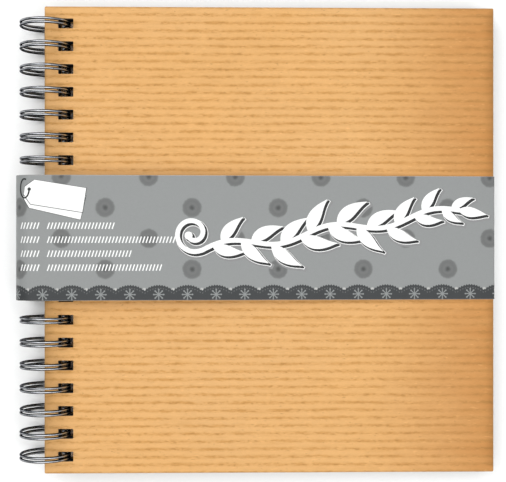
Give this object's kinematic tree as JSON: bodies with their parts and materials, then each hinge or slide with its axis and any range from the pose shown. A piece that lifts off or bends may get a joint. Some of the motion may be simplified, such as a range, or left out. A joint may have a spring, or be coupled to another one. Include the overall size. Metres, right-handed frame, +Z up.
{
  "type": "scrapbook album",
  "caption": "Square wire-bound scrapbook album, ribbed kraft board covers, black card leaves on twin-loop wire, closed with a grey printed paper band.",
  "frame": {"origin": "bottom centre of the closed, banded album's box; z = 0 is the surface it lies on", "axes": "+X from the wire-bound spine to the fore edge, +Y to the head, +Z up through the front cover"},
  "size_m": [0.2668, 0.26, 0.0297],
  "materials": {
    "ribbed_kraft": "matte ribbed kraft paper",
    "greyboard": "raw cut greyboard edge",
    "kraft_lining": "matte plain kraft paper",
    "black_card": "matte card, through-dyed",
    "gunmetal_wire": "glossy dark coating on steel wire",
    "printed_band": "satin printed paper, grey with darker dots and a lace border"
  },
  "bodies": {
    "back_cover_and_wire": {"back_cover_lining": "kraft_lining", "back_cover_board": "greyboard", "back_cover_facing": "ribbed_kraft", "binding_wire": "gunmetal_wire"},
    "front_cover": {"front_cover_facing": "ribbed_kraft", "front_cover_board": "greyboard", "front_cover_lining": "kraft_lining"},
    "leaf_01": {"leaf_01": "black_card"},
    "leaf_02": {"leaf_02": "black_card"},
    "leaf_03": {"leaf_03": "black_card"},
    "leaf_04": {"leaf_04": "black_card"},
    "leaf_05": {"leaf_05": "black_card"},
    "leaf_06": {"leaf_06": "black_card"},
    "leaf_07": {"leaf_07": "black_card"},
    "leaf_08": {"leaf_08": "black_card"},
    "leaf_09": {"leaf_09": "black_card"},
    "leaf_10": {"leaf_10": "black_card"},
    "leaf_11": {"leaf_11": "black_card"},
    "leaf_12": {"leaf_12": "black_card"},
    "leaf_13": {"leaf_13": "black_card"},
    "leaf_14": {"leaf_14": "black_card"},
    "leaf_15": {"leaf_15": "black_card"},
    "leaf_16": {"leaf_16": "black_card"},
    "leaf_17": {"leaf_17": "black_card"},
    "leaf_18": {"leaf_18": "black_card"},
    "leaf_19": {"leaf_19": "black_card"},
    "leaf_20": {"leaf_20": "black_card"},
    "band": {"paper_band": "printed_band"}
  },
  "joints": [
    {"name": "front_cover_hinge", "type": "hinge", "parent": "back_cover_and_wire", "child": "front_cover", "pos_m": [-0.11857, 0, 0.01455], "axis": [0, -1, 0], "range_deg": [0, 183]},
    {"name": "leaf_01_hinge", "type": "hinge", "parent": "back_cover_and_wire", "child": "leaf_01", "pos_m": [-0.11857, 0, 0.01455], "axis": [0, -1, 0], "range_deg": [0, 183]},
    {"name": "leaf_02_hinge", "type": "hinge", "parent": "back_cover_and_wire", "child": "leaf_02", "pos_m": [-0.11857, 0, 0.01455], "axis": [0, -1, 0], "range_deg": [0, 183]},
    {"name": "leaf_03_hinge", "type": "hinge", "parent": "back_cover_and_wire", "child": "leaf_03", "pos_m": [-0.11857, 0, 0.01455], "axis": [0, -1, 0], "range_deg": [0, 183]},
    {"name": "leaf_04_hinge", "type": "hinge", "parent": "back_cover_and_wire", "child": "leaf_04", "pos_m": [-0.11857, 0, 0.01455], "axis": [0, -1, 0], "range_deg": [0, 183]},
    {"name": "leaf_05_hinge", "type": "hinge", "parent": "back_cover_and_wire", "child": "leaf_05", "pos_m": [-0.11857, 0, 0.01455], "axis": [0, -1, 0], "range_deg": [0, 183]},
    {"name": "leaf_06_hinge", "type": "hinge", "parent": "back_cover_and_wire", "child": "leaf_06", "pos_m": [-0.11857, 0, 0.01455], "axis": [0, -1, 0], "range_deg": [0, 183]},
    {"name": "leaf_07_hinge", "type": "hinge", "parent": "back_cover_and_wire", "child": "leaf_07", "pos_m": [-0.11857, 0, 0.01455], "axis": [0, -1, 0], "range_deg": [0, 183]},
    {"name": "leaf_08_hinge", "type": "hinge", "parent": "back_cover_and_wire", "child": "leaf_08", "pos_m": [-0.11857, 0, 0.01455], "axis": [0, -1, 0], "range_deg": [0, 183]},
    {"name": "leaf_09_hinge", "type": "hinge", "parent": "back_cover_and_wire", "child": "leaf_09", "pos_m": [-0.11857, 0, 0.01455], "axis": [0, -1, 0], "range_deg": [0, 183]},
    {"name": "leaf_10_hinge", "type": "hinge", "parent": "back_cover_and_wire", "child": "leaf_10", "pos_m": [-0.11857, 0, 0.01455], "axis": [0, -1, 0], "range_deg": [0, 183]},
    {"name": "leaf_11_hinge", "type": "hinge", "parent": "back_cover_and_wire", "child": "leaf_11", "pos_m": [-0.11857, 0, 0.01455], "axis": [0, -1, 0], "range_deg": [0, 183]},
    {"name": "leaf_12_hinge", "type": "hinge", "parent": "back_cover_and_wire", "child": "leaf_12", "pos_m": [-0.11857, 0, 0.01455], "axis": [0, -1, 0], "range_deg": [0, 183]},
    {"name": "leaf_13_hinge", "type": "hinge", "parent": "back_cover_and_wire", "child": "leaf_13", "pos_m": [-0.11857, 0, 0.01455], "axis": [0, -1, 0], "range_deg": [0, 183]},
    {"name": "leaf_14_hinge", "type": "hinge", "parent": "back_cover_and_wire", "child": "leaf_14", "pos_m": [-0.11857, 0, 0.01455], "axis": [0, -1, 0], "range_deg": [0, 183]},
    {"name": "leaf_15_hinge", "type": "hinge", "parent": "back_cover_and_wire", "child": "leaf_15", "pos_m": [-0.11857, 0, 0.01455], "axis": [0, -1, 0], "range_deg": [0, 183]},
    {"name": "leaf_16_hinge", "type": "hinge", "parent": "back_cover_and_wire", "child": "leaf_16", "pos_m": [-0.11857, 0, 0.01455], "axis": [0, -1, 0], "range_deg": [0, 183]},
    {"name": "leaf_17_hinge", "type": "hinge", "parent": "back_cover_and_wire", "child": "leaf_17", "pos_m": [-0.11857, 0, 0.01455], "axis": [0, -1, 0], "range_deg": [0, 183]},
    {"name": "leaf_18_hinge", "type": "hinge", "parent": "back_cover_and_wire", "child": "leaf_18", "pos_m": [-0.11857, 0, 0.01455], "axis": [0, -1, 0], "range_deg": [0, 183]},
    {"name": "leaf_19_hinge", "type": "hinge", "parent": "back_cover_and_wire", "child": "leaf_19", "pos_m": [-0.11857, 0, 0.01455], "axis": [0, -1, 0], "range_deg": [0, 183]},
    {"name": "leaf_20_hinge", "type": "hinge", "parent": "back_cover_and_wire", "child": "leaf_20", "pos_m": [-0.11857, 0, 0.01455], "axis": [0, -1, 0], "range_deg": [0, 183]},
    {"name": "band_slide", "type": "slide", "parent": "back_cover_and_wire", "child": "band", "axis": [0, -1, 0], "range_m": [0, 0.18], "deforming": ["paper_band"]}
  ],
  "couplings": [
    {"joint": "leaf_01_hinge", "follows": "front_cover_hinge", "ratio": 0.95238},
    {"joint": "leaf_02_hinge", "follows": "front_cover_hinge", "ratio": 0.90476},
    {"joint": "leaf_03_hinge", "follows": "front_cover_hinge", "ratio": 0.85714},
    {"joint": "leaf_04_hinge", "follows": "front_cover_hinge", "ratio": 0.80952},
    {"joint": "leaf_05_hinge", "follows": "front_cover_hinge", "ratio": 0.76191},
    {"joint": "leaf_06_hinge", "follows": "front_cover_hinge", "ratio": 0.71429},
    {"joint": "leaf_07_hinge", "follows": "front_cover_hinge", "ratio": 0.66667},
    {"joint": "leaf_08_hinge", "follows": "front_cover_hinge", "ratio": 0.61905},
    {"joint": "leaf_09_hinge", "follows": "front_cover_hinge", "ratio": 0.57143},
    {"joint": "leaf_10_hinge", "follows": "front_cover_hinge", "ratio": 0.52381},
    {"joint": "leaf_11_hinge", "follows": "front_cover_hinge", "ratio": 0.47619},
    {"joint": "leaf_12_hinge", "follows": "front_cover_hinge", "ratio": 0.42857},
    {"joint": "leaf_13_hinge", "follows": "front_cover_hinge", "ratio": 0.38095},
    {"joint": "leaf_14_hinge", "follows": "front_cover_hinge", "ratio": 0.33333},
    {"joint": "leaf_15_hinge", "follows": "front_cover_hinge", "ratio": 0.28571},
    {"joint": "leaf_16_hinge", "follows": "front_cover_hinge", "ratio": 0.2381},
    {"joint": "leaf_17_hinge", "follows": "front_cover_hinge", "ratio": 0.19048},
    {"joint": "leaf_18_hinge", "follows": "front_cover_hinge", "ratio": 0.14286},
    {"joint": "leaf_19_hinge", "follows": "front_cover_hinge", "ratio": 0.095238},
    {"joint": "leaf_20_hinge", "follows": "front_cover_hinge", "ratio": 0.047619},
    {"joint": "band_slide", "follows": "front_cover_hinge", "m_per_rad": 0.05635}
  ]
}
